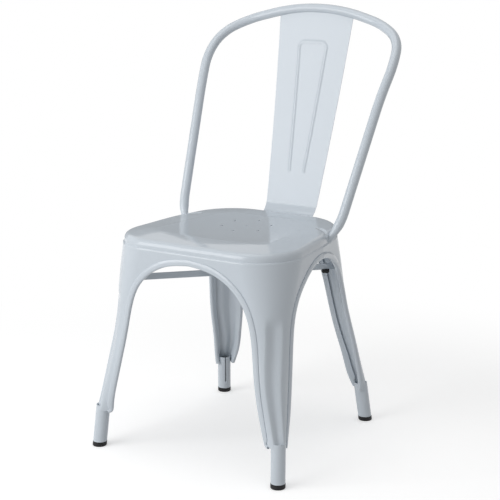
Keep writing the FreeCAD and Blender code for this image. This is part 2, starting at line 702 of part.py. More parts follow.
glides = []
for foot in ("front", "rear"):
    head = leaning_cylinder(foot + "_glide_head", foot, cell("glide_radius"), "0", cell("glide_height"))
    plug = leaning_cylinder(foot + "_glide_plug", foot, cell("plug_radius"), f"{cell('glide_height')} - 1",
                            cell("plug_top"))
    glide = name_part(union(f"foot_glide_{foot}_right", [head, plug]), f"foot_glide_{foot}_right")
    glides += [glide, mirrored(f"foot_glide_{foot}_left", glide)]

doc.recompute()

pieces = [seat_pan, *legs, back_hoop, back_splat, *bars, *bumpers, *glides]
for item in doc.Objects:
    if "Invalid" in item.State or "Error" in item.State:
        raise RuntimeError(f"{item.Label} did not compute: {item.State}")
for piece in pieces:
    if piece.Shape.isNull() or not piece.Shape.isValid():
        raise RuntimeError(f"{piece.Label} has no valid shape")

os.makedirs("parts", exist_ok=True)
for piece in pieces:
    piece.Shape.exportStep(f"parts/{piece.Label}.step")
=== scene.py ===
import math

import bmesh
import bpy
import numpy as np
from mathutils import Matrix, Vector


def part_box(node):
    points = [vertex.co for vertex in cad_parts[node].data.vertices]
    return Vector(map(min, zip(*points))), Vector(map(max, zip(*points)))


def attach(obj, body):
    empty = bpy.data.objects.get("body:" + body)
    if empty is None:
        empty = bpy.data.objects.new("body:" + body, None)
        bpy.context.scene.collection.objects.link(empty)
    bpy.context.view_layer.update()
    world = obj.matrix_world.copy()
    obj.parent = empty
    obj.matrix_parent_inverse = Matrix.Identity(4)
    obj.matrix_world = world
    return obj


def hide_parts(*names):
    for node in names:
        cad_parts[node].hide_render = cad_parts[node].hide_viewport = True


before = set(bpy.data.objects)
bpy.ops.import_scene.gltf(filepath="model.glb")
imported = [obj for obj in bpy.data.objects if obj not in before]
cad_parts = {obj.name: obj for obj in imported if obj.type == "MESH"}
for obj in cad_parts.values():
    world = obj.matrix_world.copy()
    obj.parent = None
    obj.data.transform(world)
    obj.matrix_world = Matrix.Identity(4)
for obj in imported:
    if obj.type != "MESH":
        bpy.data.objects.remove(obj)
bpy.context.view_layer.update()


# Leg pressings. Each leg is one sheet of 1.5 mm steel, pressed round the corner of the seat so that
# it carries half of two aprons, and folded back on itself along the arches. Every steel piece is
# powder coated in the same pale blue-grey gloss.

def spline(knots, values, at):
    """A cubic through the values whose slope and curvature run on across every knot, and whose ends
    are free of curvature: the curvatures at the knots solve one set of linear equations."""
    knots, values = np.asarray(knots, float), np.asarray(values, float)
    gaps = np.diff(knots)
    slopes = np.diff(values, axis=0) / (gaps if values.ndim == 1 else gaps[:, None])
    count = len(knots)
    system = np.eye(count)
    target = np.zeros_like(values)
    inner = np.arange(1, count - 1)
    system[inner, inner - 1] = gaps[:-1]
    system[inner, inner] = 2 * (gaps[:-1] + gaps[1:])
    system[inner, inner + 1] = gaps[1:]
    target[inner] = 6 * np.diff(slopes, axis=0)
    bend = np.linalg.solve(system, target)
    at = np.asarray(at, float)
    left = np.clip(np.searchsorted(knots, at, side="right") - 1, 0, count - 2)
    gap, past, ahead = gaps[left], at - knots[left], knots[left + 1] - at
    if values.ndim > 1:
        gap, past, ahead = gap[..., None], past[..., None], ahead[..., None]
    return (bend[left] * ahead**3 + bend[left + 1] * past**3) / (6 * gap) \
        + (values[left] / gap - bend[left] * gap / 6) * ahead \
        + (values[left + 1] / gap - bend[left + 1] * gap / 6) * past


def lengths_along(line):
    """How far along a broken line each of its points is."""
    return np.r_[0, np.cumsum(np.linalg.norm(np.diff(line, axis=0), axis=1))]


def unit(vectors):
    """The same directions, each one long."""
    return vectors / np.linalg.norm(vectors, axis=-1, keepdims=True)


def along_curve(points, count, grow=0.0):
    """Evenly spaced points on a smooth curve through the given ones, moved to the curve's left by
    grow, which is a length or a function of the points."""
    points = np.asarray(points, float)
    chords = lengths_along(points)
    fine = spline(chords, points, np.linspace(0, chords[-1], 1200))
    way = unit(np.gradient(fine, axis=0))
    fine = fine + (grow(fine) if callable(grow) else grow) * np.c_[-way[:, 1], way[:, 0]]
    run = lengths_along(fine)
    even = np.linspace(0, run[-1], count)
    return np.stack([np.interp(even, run, column) for column in fine.T], -1)


def smooth_step(low, high, value):
    """0 below low, 1 above high, and 3t² - 2t³ in between."""
    t = np.clip((value - low) / (high - low), 0, 1)
    return t * t * (3 - 2 * t)


def grid_faces(rows, columns, start, closed):
    """The quads of a grid whose points are numbered row by row from start. The last column of a
    closed grid is joined to its first."""
    row = np.arange(rows - 1)[:, None]
    column = np.arange(columns if closed else columns - 1)[None, :]
    after = (column + 1) % columns
    quad = (row * columns + column, row * columns + after,
            (row + 1) * columns + after, (row + 1) * columns + column)
    return np.stack(quad, -1).reshape(-1, 4) + start


def put_in_scene(name, data):
    """A new object of the scene that holds the given mesh, lamp or camera."""
    thing = bpy.data.objects.new(name, data)
    bpy.context.scene.collection.objects.link(thing)
    return thing


def surface_object(name, grids, material, wall=0.0, sharp=35.0, flip=False):
    """One mesh made of grids of points, each (points, closed); shared edges are merged, and a wall is
    given to a sheet on its inner side."""
    points, faces = [], []
    start = 0
    for grid, closed in grids:
        rows, columns = grid.shape[:2]
        points.append(grid.reshape(-1, 3))
        faces.append(grid_faces(rows, columns, start, closed))
        start += rows * columns
    faces = np.concatenate(faces)
    mesh = bpy.data.meshes.new(name)
    mesh.from_pydata(np.concatenate(points), [], faces[:, ::-1] if flip else faces)
    shape = bmesh.new()
    shape.from_mesh(mesh)
    bmesh.ops.remove_doubles(shape, verts=shape.verts, dist=merge_distance)
    shape.to_mesh(mesh)
    shape.free()
    piece = put_in_scene(name, mesh)
    if wall:
        thick = piece.modifiers.new("wall", "SOLIDIFY")
        thick.thickness = wall
        thick.offset = -1
        walled = piece.evaluated_get(bpy.context.evaluated_depsgraph_get())
        solid = bpy.data.meshes.new_from_object(walled)
        piece.modifiers.clear()
        piece.data = solid
        bpy.data.meshes.remove(mesh)
        solid.name = name
    piece.data.shade_smooth()
    piece.data.set_sharp_from_angle(angle=math.radians(sharp))
    piece.data.materials.append(material)
    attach(piece, "root")
    return piece


class Socket:
    """A value in a material. A sum or a product that holds one adds its Math node."""

    def __init__(self, finish, end):
        self.finish = finish
        self.end = end

    def __add__(self, other):
        return self.finish.maths_of("ADD", self, other)

    def __mul__(self, other):
        return self.finish.maths_of("MULTIPLY", self, other)

    __radd__ = __add__
    __rmul__ = __mul__


class Finish:
    """The nodes of a material or of the world, added one by one."""

    def __init__(self, owner):
        owner.use_nodes = True
        self.owner = owner
        self.nodes = owner.node_tree.nodes
        self.links = owner.node_tree.links
        self.nodes.clear()

    def add(self, kind, settings, inputs, output=0):
        """Add a node: its settings first, then the value or link of each input."""
        node = self.nodes.new("ShaderNode" + kind)
        for key, value in settings.items():
            setattr(node, key, value)
        for key, value in inputs.items():
            if isinstance(value, Socket):
                self.links.new(value.end, node.inputs[key])
            else:
                node.inputs[key].default_value = value
        return Socket(self, node.outputs[output])

    def maths_of(self, operation, first, second):
        return self.add("Math", {"operation": operation}, {0: first, 1: second})

    def place(self):
        """Where on its object a point is."""
        return self.add("TexCoord", {}, {}, "Object")

    def noise(self, scale, detail=2.0, roughness=0.5):
        return self.add("TexNoise", {}, {"Vector": self.place(), "Scale": scale, "Detail": detail,
                                         "Roughness": roughness})

    def blend(self, share, first, second):
        """The first colour where share is 0 and the second where it is 1. Inputs 6 and 7 and output 2
        are the Mix node's colours."""
        return self.add("Mix", {"data_type": "RGBA"},
                        {0: share, 6: (*first, 1.0), 7: (*second, 1.0)}, 2)

    def show(self, shader):
        """Make shader the surface, and return the material or the world."""
        kind = "World" if isinstance(self.owner, bpy.types.World) else "Material"
        output = self.nodes.new("ShaderNodeOutput" + kind)
        self.links.new(shader.end, output.inputs["Surface"])
        return self.owner


def powder_coat(name, colour, shade):
    """Gloss powder coat: the fine ripple it cures with, a slow waviness of the sheet under it, and a
    faint unevenness of its colour and gloss."""
    paint = Finish(bpy.data.materials.new(name))
    clouds = paint.noise(9.0, 3.0)
    ripple = paint.noise(900.0, 1.5)
    wave = paint.noise(34.0, 1.0)
    relief = ripple * ripple_share + wave * wave_share
    bump = paint.add("Bump", {}, {"Strength": 0.10, "Distance": 0.001, "Height": relief})
    return paint.show(paint.add("BsdfPrincipled", {}, {
        "Base Color": paint.blend(clouds, shade, colour),
        "Roughness": clouds * roughness_spread + least_roughness, "Normal": bump, "IOR": 1.5}))


ripple_share, wave_share = 0.004, 0.16
least_roughness, roughness_spread = 0.07, 0.05
blue_grey, darker_grey = (0.600, 0.655, 0.710), (0.585, 0.642, 0.700)
steel_paint = powder_coat("blue_grey_powder_coat", blue_grey, darker_grey)

merge_distance = 2e-5
sheet_steel = 0.0015
seam_depth = 0.043
apron_top = 0.4130
shoulder = 0.004
shelf_depth = 0.006
leg_rows, leg_columns = 150, 101
apron_rows = 10

# Height, centre of the outer corner across and along, its radius, and the turns of its two wings
front_stations = np.array((
    (0.4155, 0.1033, 0.1462, 0.090, 0.0, 7.0),
    (0.3350, 0.1300, 0.1732, 0.062, 0.0, 5.0),
    (0.2560, 0.1475, 0.1907, 0.046, 0.0, 3.0),
    (0.1870, 0.1632, 0.2100, 0.036, 10.0, 6.0),
    (0.1280, 0.1810, 0.2255, 0.026, 12.0, 10.0),
    (0.0710, 0.2021, 0.2421, 0.014, 29.0, 29.0),
))
rear_stations = np.array((
    (0.4155, 0.0598, 0.0140, 0.107, 0.0, -12.0),
    (0.3450, 0.1077, 0.0636, 0.0513, 0.0, -10.0),
    (0.2560, 0.1249, 0.0868, 0.0385, 0.0, -4.0),
    (0.1870, 0.1377, 0.1090, 0.0335, 4.0, 2.0),
    (0.1280, 0.1485, 0.1300, 0.0275, 17.0, 6.0),
    (0.0710, 0.1691, 0.1520, 0.014, 22.0, 26.0),
))
# Edges of the arches seen from the front, the rear and the side, as (across or along, height): from
# the middle of the apron to the foot, and for the side from the front foot to the rear one
front_arch = np.array((
    (0.0, 0.3914), (0.056, 0.3818), (0.096, 0.3585), (0.119, 0.332), (0.1325, 0.300),
    (0.1455, 0.230), (0.159, 0.155), (0.171, 0.100), (0.1733, 0.087), (0.1750, 0.079),
    (0.1775, 0.0742), (0.184, 0.072),
))
rear_arch = np.array((
    (0.0, 0.389), (0.046, 0.380), (0.076, 0.357), (0.093, 0.322), (0.1052, 0.2567),
    (0.1151, 0.190), (0.125, 0.143), (0.136, 0.097), (0.148, 0.070),
))
side_arch = np.array((
    (-0.224, 0.070), (-0.2095, 0.112), (-0.1965, 0.154), (-0.187, 0.190), (-0.1755, 0.262),
    (-0.167, 0.303), (-0.1508, 0.3345), (-0.1187, 0.3638), (-0.085, 0.382), (-0.046, 0.3885),
    (0.003, 0.379), (0.042, 0.357), (0.069, 0.322), (0.0885, 0.253), (0.106, 0.1865),
    (0.125, 0.118), (0.132, 0.070),
))
hem_radius = 0.0028
hem_width = 0.009
band_rise = 0.0011
lobe_foot, lobe_top = 0.074, 0.090
lobe_narrowing = 0.6
arch_steps = 140
# The bead beside an arch: distance from the edge, and rise
band_profile = np.array((
    (0.0108, -0.0003), (0.0102, -0.0001), (0.0095, 0.0002), (0.0086, 0.0006), (0.0076, 0.0009),
    (0.0064, 0.0011), (0.0048, 0.0012),
))

# The groove down the outer corner of a leg: half its width low and high, the heights between which it
# widens, and those between which it fades in and out
flute_depth, flute_fullness = 0.0060, 1.6
flute_narrow, flute_wide = 0.0118, 0.0180
flute_widens = (0.08, 0.24)
flute_foot, flute_head = (0.072, 0.088), (0.286, 0.318)


def corner_section(stations, height):
    """Centre, radius and the two wing turns of the sheet's corner at each height."""
    order = np.argsort(stations[:, 0])
    values = spline(stations[order, 0], stations[order, 1:], height)
    return (*np.moveaxis(values[..., :3], -1, 0), *np.radians(np.moveaxis(values[..., 3:], -1, 0)))


def sheet_point(stations, run, height):
    """The outer face of the sheet. run is the length along the section at that height from the middle
    of its rounded corner: an arc about the centre, and beyond its two ends straight wings along the
    tangents. The face wing is at negative run, and the along axis points into the chair."""
    across, along, radius, face, side = corner_section(stations, height)
    sweep = math.pi / 2 + face + side
    half = radius * sweep / 2
    turn = -math.pi / 2 - face + (np.clip(run, -half, half) + half) / radius
    beyond = run - np.clip(run, -half, half)
    wing = np.where(beyond < 0, 1.0, 0.0)
    x = across + radius * np.cos(turn) - beyond * (-wing * np.cos(face) + (1 - wing) * np.sin(side))
    y = -along + radius * np.sin(turn) + beyond * (-wing * np.sin(face) + (1 - wing) * np.cos(side))
    return np.stack([x, y, height], -1)


def face_normal(stations, run, height):
    """The outward unit normal: the cross product of a small step along the run and one upwards."""
    here = sheet_point(stations, run, height)
    step = 1e-4
    across = sheet_point(stations, run + step, height) - here
    upwards = sheet_point(stations, run, height + step) - here
    return unit(np.cross(across, upwards))


def run_on_face(stations, x, height):
    """How far along the section the face wing or the corner has a given x."""
    across, along, radius, face, side = corner_section(stations, height)
    half = radius * (math.pi / 2 + face + side) / 2
    past = (across - radius * np.sin(face) - x) / np.cos(face)
    turn = -np.arccos(np.clip((x - across) / radius, -1, 1)) + math.pi / 2 + face
    return np.where(past >= 0, -half - past, radius * turn - half)


def run_on_side(stations, y, height):
    """How far along the section the side wing or the corner has a given y."""
    across, along, radius, face, side = corner_section(stations, height)
    half = radius * (math.pi / 2 + face + side) / 2
    past = (y + along - radius * np.sin(side)) / np.cos(side)
    turn = np.arcsin(np.clip((y + along) / radius, -1, 1)) + math.pi / 2 + face
    return np.where(past >= 0, half + past, radius * turn - half)


def flute(run, height):
    """Depth of the groove pressed down the outer corner of a leg: a smooth hollow across, that fades
    out at its two rounded ends."""
    half_width = flute_narrow + (flute_wide - flute_narrow) * smooth_step(*flute_widens, height)
    ends = smooth_step(*flute_foot, height) * (1 - smooth_step(*flute_head, height))
    return flute_depth * ends * np.clip(1 - (run / half_width) ** 2, 0, 1) ** flute_fullness


def leg_sheet(stations, face_arch, half_side_arch, seam):
    """Points of one leg pressing, in the quarter where the along axis points out of the chair at -y.
    Columns run across from the face arch to the side arch, and rows from the shelf under the pan,
    round the shoulder and down to the foot. On the apron and the leg, the run and the height of each
    row's two ends are blended evenly between them."""
    left_arch = along_curve(face_arch, leg_rows - apron_rows, hem_radius)
    right_arch = along_curve(half_side_arch, leg_rows - apron_rows, -hem_radius)
    left_arch[0, 0] = 0.0
    right_arch[0, 0] = seam
    high = apron_top - shoulder
    lift = np.linspace(1, 0, apron_rows, endpoint=False)
    left, right = (
        np.vstack([np.c_[np.full(apron_rows, arch[0, 0]), arch[0, 1] + lift * (high - arch[0, 1])],
                   arch]) for arch in (left_arch, right_arch))
    left_run = run_on_face(stations, *left.T)
    right_run = run_on_side(stations, *right.T)
    share = np.linspace(0, 1, leg_columns)
    run = np.outer(left_run, 1 - share) + np.outer(right_run, share)
    height = np.outer(left[:, 1], 1 - share) + np.outer(right[:, 1], share)
    outwards = face_normal(stations, run, height)
    points = sheet_point(stations, run, height) - outwards * flute(run, height)[..., None]

    turn = np.linspace(0, math.pi / 2, 6)[::-1][:, None, None]
    level = unit(outwards[0] * (1, 1, 0))
    top = points[0] - shoulder * (1 - np.cos(turn)) * level + np.array((0, 0, shoulder)) * np.sin(turn)
    shelf = top[:1] - level * shelf_depth
    return np.concatenate([shelf, top[:-1], points])


def arch_band(stations, arch, on_face):
    """The sheet folded back along an arch: a low round bead beside the edge, half a turn of hem_radius
    round the edge, and a strip straight back inside. Each step of the profile is a curve at its own
    distance from the arch, raised along the sheet's normal."""
    turn = np.linspace(0, math.pi, 13)
    rolled = np.c_[hem_radius * (1 - np.sin(turn)), band_rise - hem_radius * (1 - np.cos(turn))]
    back = hem_radius + np.linspace(0, hem_width, 5)[1:]
    profile = np.vstack([band_profile, rolled, np.c_[back, np.full(4, band_rise - 2 * hem_radius)]])
    sign, run_at = (1, run_on_face) if on_face else (-1, run_on_side)

    def kept(place):
        """The share of its distance that a curve keeps: less at the lobe that ends the pressing."""
        return 1 - lobe_narrowing * (1 - smooth_step(lobe_foot, lobe_top, place[:, 1:]))

    strips = []
    for distance, rise in profile:
        line = along_curve(arch, arch_steps, lambda place: sign * distance * kept(place))
        line[0, 0] = arch[0, 0]
        run, height = run_at(stations, *line.T), line[:, 1]
        strips.append(sheet_point(stations, run, height) + rise * face_normal(stations, run, height))
    return np.array(strips)


whole_side = along_curve(side_arch, 81)
parting = np.argmin(np.abs(whole_side[:, 0] + seam_depth))
whole_side[parting, 0] = -seam_depth
front_half_side = whole_side[parting::-1]
rear_half_side = whole_side[parting:] * (-1, 1)

for end, stations, face_arch, half_side, seam, along_sign in (
        ("front", front_stations, front_arch, front_half_side, -seam_depth, 1),
        ("rear", rear_stations, rear_arch, rear_half_side, seam_depth, -1)):
    quarter = [leg_sheet(stations, face_arch, half_side, seam),
               arch_band(stations, face_arch, True)[::-1], arch_band(stations, half_side, False)]
    for hand, side in (("right", 1), ("left", -1)):
        turned = [(grid * (side, along_sign, 1), False) for grid in quarter]
        piece = surface_object(f"{end}_{hand}_leg", turned, steel_paint, wall=sheet_steel,
                               flip=side * along_sign > 0)
        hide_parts(f"leg_{end}_{hand}")


# Foot tubes. Below the pressing the same sheet closes into a round tube. An open slit runs down the
# side that faces the middle of the chair, and stops short of the glide.

# The middle of each tube at the floor, on the right, and how far it leans for each metre of height
foot_places = {
    "front": (np.array((0.2062, -0.2497)), np.array((-0.058, 0.107))),
    "rear": (np.array((0.1751, 0.1619)), np.array((-0.085, -0.14))),
}
tube_radius = 0.0139
slit_width = 0.0022
slit_start = 0.026
tube_wall = 0.0017
tube_foot, tube_top = 0.0095, 0.084
whole_turn = 2 * math.pi


def leaning_rings(end, heights, radii, angles):
    """Circles about a leaning middle line: at each height the centre has moved by the lean times the
    height."""
    foot, lean = foot_places[end]
    heights, radii = np.asarray(heights)[:, None], np.asarray(radii)[:, None]
    x = foot[0] + lean[0] * heights + radii * np.cos(angles)
    y = foot[1] + lean[1] * heights + radii * np.sin(angles)
    return np.stack([x, y, heights + 0 * angles], -1)


for end, way in (("front", 1), ("rear", -1)):
    inwards = math.atan2(way, -1)
    gap = slit_width / tube_radius
    around = inwards + np.linspace(gap / 2, whole_turn - gap / 2, 57)[None, :]
    lower = leaning_rings(end, np.linspace(tube_foot, slit_start, 4), np.full(4, tube_radius), around)
    upper = leaning_rings(end, np.linspace(slit_start, tube_top, 9), np.full(9, tube_radius), around)
    for hand, side in (("right", 1), ("left", -1)):
        turned = [(lower * (side, 1, 1), True), (upper * (side, 1, 1), False)]
        piece = surface_object(f"{end}_{hand}_foot_tube", turned, steel_paint, wall=tube_wall,
                               flip=side < 0)


# Seat pan. One shallow pressing: a broad dish with seven drain holes, a soft shoulder all round, a
# rolled rim, and a low skirt that stands just inside the top of the aprons.

pan_inset = 0.002
# The corners of its right half seen from above, from front to rear, and the radius of each
pan_corners = np.array(((0.205, -0.2362), (0.1814, -0.043), (0.1464, 0.121)))
pan_bends = (0.090, 0.320, 0.107)
seat_top = 0.4341
pan_roll = 0.010
skirt_foot = 0.4095
front_fall = 0.0066
crown_width = 0.058
crown_softness = 0.02
side_fall, front_reach = 0.45, 0.17
dish_middle = np.array((0.0, -0.060))
dish_sphere = 2.1
dish_depth = 0.0050
dish_softness = 0.0007
drain_middle = np.array((0.0, -0.0275))
drain_radius = 0.003
drain_ring = 0.049
# The crease round the end of the hoop, in the right half, seen from above
pocket_line = np.array((
    (0.1404, 0.0166), (0.1519, 0.0079), (0.1625, -0.0012), (0.1692, -0.0073), (0.1735, -0.0150),
))
pocket_depth, pocket_width = 0.0030, 0.0050


def arc_in_corner(before, corner, after, bend):
    """The arc of radius bend that touches both sides of a corner. Returns its centre, the line from
    there to its start, the unit vector back along the first side, and its sweep."""
    back, ahead = unit(before - corner), unit(after - corner)
    half = math.acos(np.dot(back, ahead)) / 2
    centre = corner + unit(back + ahead) * bend / math.sin(half)
    return centre, corner + back * bend / math.tan(half) - centre, back, math.pi - 2 * half


def rounded_outline(corners, bends, inset):
    """A closed line with rounded corners, seen from above: each corner is an arc that touches its two
    sides, and the whole is drawn inwards by inset. Returns points and their inward normals."""
    loop = np.vstack([corners, corners[::-1] * (-1, 1)])
    radii = [*bends, *bends[::-1]]
    points, normals = [], []
    for before, corner, after, bend in zip(np.roll(loop, 1, 0), loop, np.roll(loop, -1, 0), radii):
        centre, first, _, sweep = arc_in_corner(before, corner, after, bend)
        angle = math.atan2(first[1], first[0]) + np.linspace(0, sweep, 400)
        spoke = np.c_[np.cos(angle), np.sin(angle)]
        points.append(centre + spoke * (bend - inset))
        normals.append(-spoke)
    return np.vstack(points), np.vstack(normals)


def outline_at(angles):
    """Where rays from the middle drain hole at the given angles cross the pan's outline, and the
    outline's inward unit normals there."""
    outline = np.hstack(rounded_outline(pan_corners, pan_bends, pan_inset))
    outline = np.vstack([outline, outline[:1]])
    length = lengths_along(outline[:, :2])
    even = np.linspace(0, length[-1], 20001)[:-1]
    table = np.stack([np.interp(even, length, column) for column in outline.T], -1)
    ray = np.arctan2(table[:, 1] - drain_middle[1], table[:, 0] - drain_middle[0]) % whole_turn
    order = np.argsort(ray)
    found = np.stack([np.interp(angles, ray[order], column, period=whole_turn)
                      for column in table[order].T], -1)
    return found[:, :2], unit(found[:, 2:])


def seat_height(points, depth_in=1.0):
    """Height of the seat's top: a shallow sphere whose edge melts into the flat shoulder, less the
    broad fall towards the edges and the crease that curls round each end of the hoop. depth_in is
    the distance from the outline, where any large one leaves out the fall."""
    out = np.sum((points - dish_middle) ** 2, axis=-1)
    hollow = dish_depth - out / (2 * dish_sphere)
    dish = (hollow + np.sqrt(hollow**2 + dish_softness**2)) / 2
    inside = (crown_width - depth_in) / crown_width
    fall = (inside + np.sqrt(inside**2 + crown_softness)) / 2
    front = side_fall + (1 - side_fall) * smooth_step(0.0, front_reach, -points[..., 1])
    here = np.stack([np.abs(points[..., 0]), points[..., 1]], -1)[..., None, :]
    run = pocket_line[1:] - pocket_line[:-1]
    along = np.clip(np.sum((here - pocket_line[:-1]) * run, -1) / np.sum(run**2, -1), 0, 1)
    away = np.linalg.norm(here - pocket_line[:-1] - along[..., None] * run, axis=-1).min(-1)
    crease = pocket_depth * np.clip(1 - (away / pocket_width) ** 2, 0, 1) ** 2
    return seat_top - dish - front_fall * fall * front - crease


# One bearing for each degree round the seat, and finer ones near the ends of the hoop
degrees = np.linspace(0, whole_turn, 361)[:-1]
hoop_bearing = math.radians(12.5)
close = np.radians(np.arange(-6, 6.01, 0.5))
bearings = np.unique(np.round(np.r_[degrees, hoop_bearing + close, math.pi - hoop_bearing + close], 6))
bearings = bearings[np.r_[True, np.diff(bearings) > 0.002]]
rim, rim_inwards = outline_at(bearings)
roll_foot = seat_height(rim, 0.0) - pan_roll
rows = [np.c_[rim, skirt_foot + share * (roll_foot - skirt_foot)] for share in (0.0, 0.35, 0.7)]
for turn in np.radians(np.linspace(0, 90, 10)):
    inset = pan_roll * (1 - math.cos(turn))
    place = rim + rim_inwards * inset
    height = seat_height(place, inset) - pan_roll * (1 - math.sin(turn))
    rows.append(np.c_[place, height])
for inset in pan_roll + np.cumsum(np.linspace(0.0015, 0.0058, 13)):
    place = rim + rim_inwards * inset
    rows.append(np.c_[place, seat_height(place, inset)])
shoulder_line = place
ring_radius = 0.058
circle = drain_middle + ring_radius * np.c_[np.cos(bearings), np.sin(bearings)]
for share in np.linspace(0, 1, 22)[1:]:
    place = shoulder_line * (1 - share) + circle * share
    rows.append(np.c_[place, seat_height(place)])

# Each of the six outer holes is cut in a patch of the ring that they stand on
hole_margin, hole_spread = 0.0075, math.radians(9)
inner_radii = np.linspace(drain_radius, drain_ring - hole_margin, 20)
hole_radii = np.linspace(drain_ring - hole_margin, drain_ring + hole_margin, 12)
last_radii = np.linspace(drain_ring + hole_margin, ring_radius, 3)


def on_seat(place):
    """Places seen from above, with the height of the seat's dish there."""
    return np.concatenate([place, seat_height(place)[..., None]], -1)


def dish_grid(radii, angles):
    """Points of the dish on circles about the middle hole."""
    return on_seat(drain_middle + radii[:, None, None] * np.stack([np.cos(angles), np.sin(angles)], -1))


pan_grids = [(np.array(rows), True), (dish_grid(last_radii[::-1], bearings), True),
             (dish_grid(inner_radii[::-1], bearings), True)]
sixth = math.pi / 3
rounding = 1e-5
for hole in math.pi / 2 + np.arange(6) * sixth:
    turned = (bearings - hole + hole_spread + rounding) % whole_turn
    order = np.argsort(turned)
    turned, ordered = turned[order], bearings[order]
    held = ordered[turned <= 2 * (hole_spread + rounding)]
    between = ordered[(turned >= 2 * hole_spread) & (turned <= sixth + 2 * rounding)]
    patch = dish_grid(hole_radii, held)[..., :2]
    edge = np.vstack([patch[0, :-1], patch[:-1, -1], patch[-1, :0:-1], patch[:0:-1, 0]])[::-1]
    centre = drain_middle + drain_ring * np.array((math.cos(hole), math.sin(hole)))
    lip = centre + unit(edge - centre) * drain_radius
    steps = np.array((0, 0.35, 0.65, 0.85, 0.95, 1.0))[:, None, None]
    pan_grids.append((on_seat(edge * (1 - steps) + lip * steps), True))
    pan_grids.append((dish_grid(hole_radii[::-1], between), False))

seat = surface_object("seat", pan_grids, steel_paint, wall=sheet_steel)
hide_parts("seat_pan")


# Back hoop. One round tube, 19 mm across, bent into the outline of the back; its two ends go down
# into the sides of the seat frame.

hoop_radius = 0.00949
hoop_around = 40
hoop_end_share = 0.78
hoop_narrows = (0.426, 0.444)
# The corners of its middle line in the right half, from the top down, and the radius of each
hoop_corners = np.array((
    (0.055, 0.2543, 0.8405, 0.370), (0.1568, 0.2411, 0.814, 0.1499), (0.2071, 0.2113, 0.7873, 0.0852),
    (0.2191, 0.1678, 0.7431, 0.1584), (0.2101, 0.1308, 0.6818, 0.6023), (0.1851, 0.0257, 0.454, 0.1384),
    (0.1762, 0.0116, 0.4282, 0.110), (0.1557, -0.0018, 0.398, 0.0),
))


def bent_line(corners):
    """Straight runs joined by arcs: each arc touches its two runs and turns with the given radius."""
    line = [corners[0][:3]]
    for before, corner, after in zip(corners, corners[1:], corners[2:]):
        bend = corner[3]
        centre, spoke, back, sweep = arc_in_corner(before[:3], corner[:3], after[:3], bend)
        turn = np.linspace(0, sweep, 4 + int(sweep / math.radians(2.5)))[:, None]
        line.append(centre + spoke * np.cos(turn) - back * bend * np.sin(turn))
    line.append(corners[-1][:3])
    return np.vstack(line)


def round_bar(line, radius, around):
    """A circle carried along a line: its frame turns only as the line does, by projecting the last
    side vector on to each new section."""
    way = unit(np.gradient(line, axis=0))
    side = np.cross(way[0], (0, 1, 0))
    sides = []
    for ahead in way:
        side = unit(side - ahead * np.dot(side, ahead))
        sides.append(side)
    sides = np.array(sides)
    others = np.cross(way, sides)
    angle = np.linspace(0, whole_turn, around, endpoint=False)[None, :, None]
    return line[:, None] + radius * (np.cos(angle) * sides[:, None] + np.sin(angle) * others[:, None])


hoop_line = bent_line(np.vstack([hoop_corners[::-1] * (-1, 1, 1, 1), hoop_corners]))
full = smooth_step(*hoop_narrows, hoop_line[:, 2])
hoop_radii = hoop_radius * (hoop_end_share + (1 - hoop_end_share) * full)
hoop_rings = round_bar(hoop_line, hoop_radii[:, None, None], hoop_around)
first_end, last_end = (np.broadcast_to(end, (1, hoop_around, 3)) for end in hoop_line[[0, -1]])
hoop_rings = np.concatenate([first_end, hoop_rings, last_end])
hoop = surface_object("hoop", [(hoop_rings, True)], steel_paint)
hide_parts("back_hoop")


# Back splat. A flat steel strip, 1.2 mm thick, that widens upwards, is dished gently along its length
# and turns forward on to the rear of the seat. A soft bead that runs up both sides and across the top
# is pressed forward to stiffen it.

splat_steel = 0.0012
splat_side = np.array(((0.2522, 0.840), (0.190, 0.583), (0.152, 0.449)))
splat_foot = np.array((0.118, 0.4165))
splat_wide, splat_narrow = 0.0874, 0.0578
bead_top, bead_foot = np.array((0.0326, 0.772)), np.array((0.0168, 0.504))
bead_width, bead_rise = 0.0046, 0.0013
bead_corner, bead_fade = 0.014, 0.006


def circle_through(a, b, c):
    """Centre of the circle through three points."""
    return np.linalg.solve(2 * np.array((b - a, c - a)), np.array((b @ b - a @ a, c @ c - a @ a)))


def splat_profile(count):
    """The back face seen from the side: one long arc, and a short one that leaves it along its
    tangent and ends on the seat."""
    top, middle, knee = splat_side
    centre = circle_through(top, middle, knee)
    start, end = (math.atan2(*(point - centre)[::-1]) for point in (top, knee))
    radius = np.linalg.norm(top - centre)
    angle = np.linspace(start, start + (end - start + math.pi) % (2 * math.pi) - math.pi, count)
    long_arc = centre + radius * np.c_[np.cos(angle), np.sin(angle)]
    spoke = (knee - centre) / radius
    chord = splat_foot - knee
    bend = chord @ chord / (2 * abs(spoke @ chord))
    turn_centre = knee + spoke * math.copysign(bend, spoke @ chord)
    start, end = (math.atan2(*(point - turn_centre)[::-1]) for point in (knee, splat_foot))
    angle = np.linspace(start, start + (end - start + math.pi) % (2 * math.pi) - math.pi, 26)[1:]
    return np.vstack([long_arc, turn_centre + bend * np.c_[np.cos(angle), np.sin(angle)]])


def bead_height(x, z):
    """Rise of the pressed bead: a smooth hump across the distance from its middle line, which has two
    straight sides, round corners and a level top. It fades in at its two feet."""
    run = bead_top - bead_foot
    length = np.linalg.norm(run)
    run = run / length
    place = np.stack([np.abs(x), z], -1)
    along = np.clip((place - bead_foot) @ run, 0, length)
    side = np.linalg.norm(place - bead_foot - along[..., None] * run, axis=-1)
    corner_foot = bead_top[1] - bead_corner
    across = np.clip(np.abs(x) - (bead_top[0] - bead_corner), 0, None)
    above = np.clip(z - corner_foot, 0, None)
    crown = np.abs(np.hypot(across, above) - bead_corner)
    away = np.where(z > corner_foot, crown, side)
    hump = np.clip(1 - (away / bead_width) ** 2, 0, 1) ** 2
    return bead_rise * hump * smooth_step(0.0, bead_fade, z - bead_foot[1])


